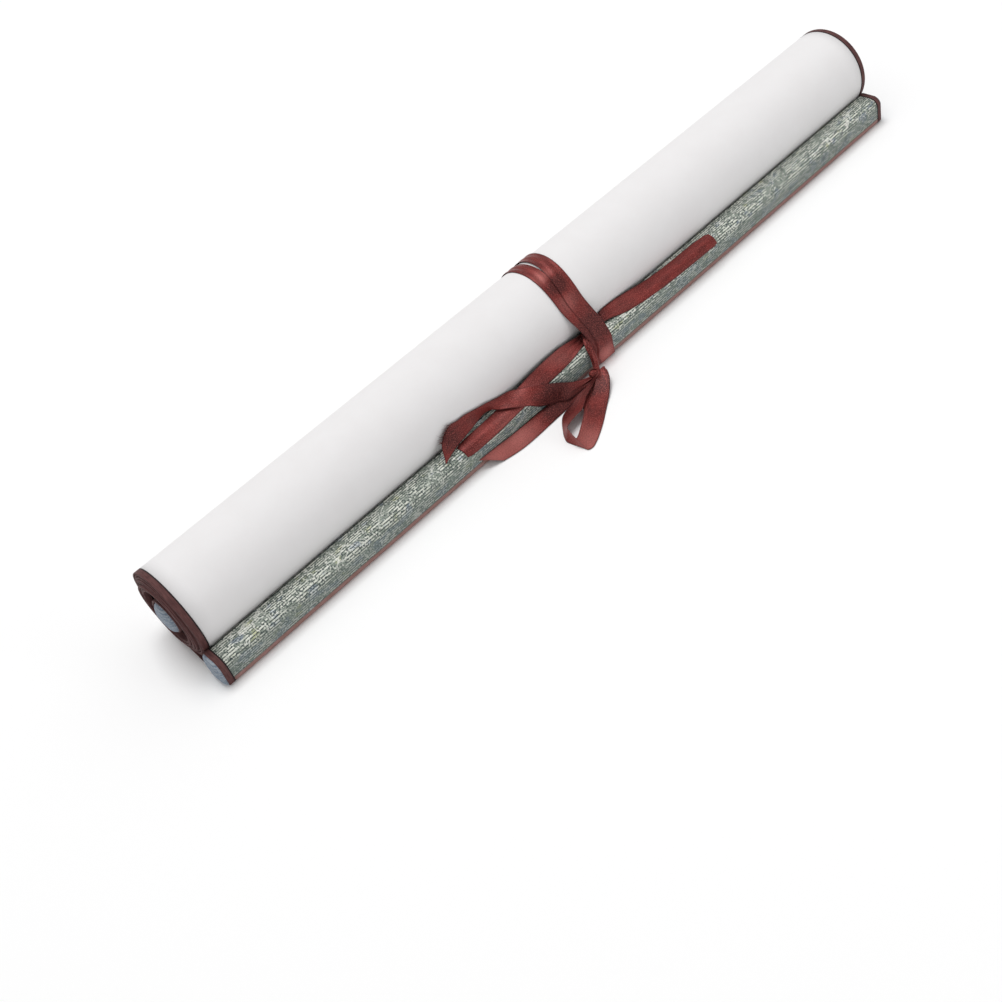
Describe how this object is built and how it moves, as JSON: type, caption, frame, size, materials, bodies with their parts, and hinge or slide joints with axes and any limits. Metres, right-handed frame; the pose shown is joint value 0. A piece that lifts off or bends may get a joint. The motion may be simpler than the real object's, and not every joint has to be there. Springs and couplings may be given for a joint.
{
  "type": "rolled hanging scroll",
  "caption": "Blank hanging scroll rolled round its rod, white paper outside, with a brocade-wrapped batten alongside, tied with a satin ribbon in a bow.",
  "frame": {"origin": "on the surface the scroll rests on, below the roll's axis, halfway along the roll", "axes": "+X along the roll, -Y towards the batten, -Z into the surface it rests on"},
  "size_m": [0.508, 0.0992, 0.0509],
  "materials": {
    "mounted_sheet": "matt",
    "brown_binding": "woven",
    "brocade": "woven",
    "wood": "matt",
    "satin_ribbon": "satin"
  },
  "bodies": {
    "root": {"scroll_sheet": "mounted_sheet", "edge_bindings": "brown_binding", "head_binding": "brown_binding", "top_batten": "wood", "batten_end_covers": "brocade", "bottom_rod": "wood", "rod_end_covers": "brocade", "hanging_ribbon": "satin_ribbon", "tie_ribbon": "satin_ribbon"}
  },
  "joints": []
}
